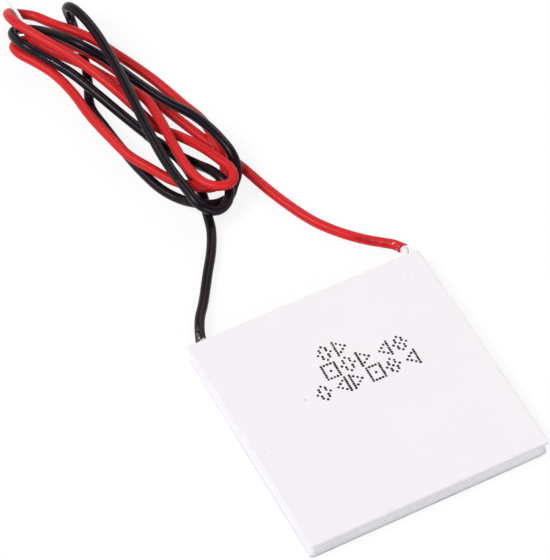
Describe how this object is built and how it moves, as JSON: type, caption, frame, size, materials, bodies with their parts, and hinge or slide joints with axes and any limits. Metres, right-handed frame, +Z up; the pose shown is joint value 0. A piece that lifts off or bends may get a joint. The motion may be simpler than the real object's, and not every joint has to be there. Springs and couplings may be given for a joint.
{
  "type": "thermoelectric generator module",
  "caption": "Flat square ceramic module that turns a temperature difference into current, with a sealed rim and a red and a black lead looped together in a loose bundle.",
  "frame": {"origin": "bottom centre of the lower ceramic plate, on the surface that the module lies on", "axes": "+Z up through the plates towards the upper plate, +Y towards the edge that the leads leave, +X towards the red lead"},
  "size_m": [0.04, 0.1155, 0.0077],
  "materials": {
    "ceramic": "matte fired alumina",
    "sealant": "white silicone",
    "copper": "plain copper",
    "p_semiconductor": "dark grey ingot",
    "n_semiconductor": "grey ingot",
    "solder": "dull solder",
    "tinned_wire": "tinned strands",
    "black_insulation": "semi-gloss soft plastic",
    "red_insulation": "semi-gloss soft plastic"
  },
  "bodies": {
    "root": {"lower_ceramic_plate": "ceramic", "upper_ceramic_plate": "ceramic", "edge_sealant": "sealant", "lower_copper_tabs": "copper", "upper_copper_tabs": "copper", "p_type_legs": "p_semiconductor", "n_type_legs": "n_semiconductor", "black_terminal_tab": "copper", "red_terminal_tab": "copper", "black_solder_joint": "solder", "red_solder_joint": "solder", "black_lead_stripped_end": "tinned_wire", "red_lead_stripped_end": "tinned_wire", "black_lead_sealant": "sealant", "red_lead_sealant": "sealant", "black_lead_insulation": "black_insulation", "red_lead_insulation": "red_insulation", "black_lead_tip": "tinned_wire", "red_lead_tip": "tinned_wire"}
  },
  "joints": []
}
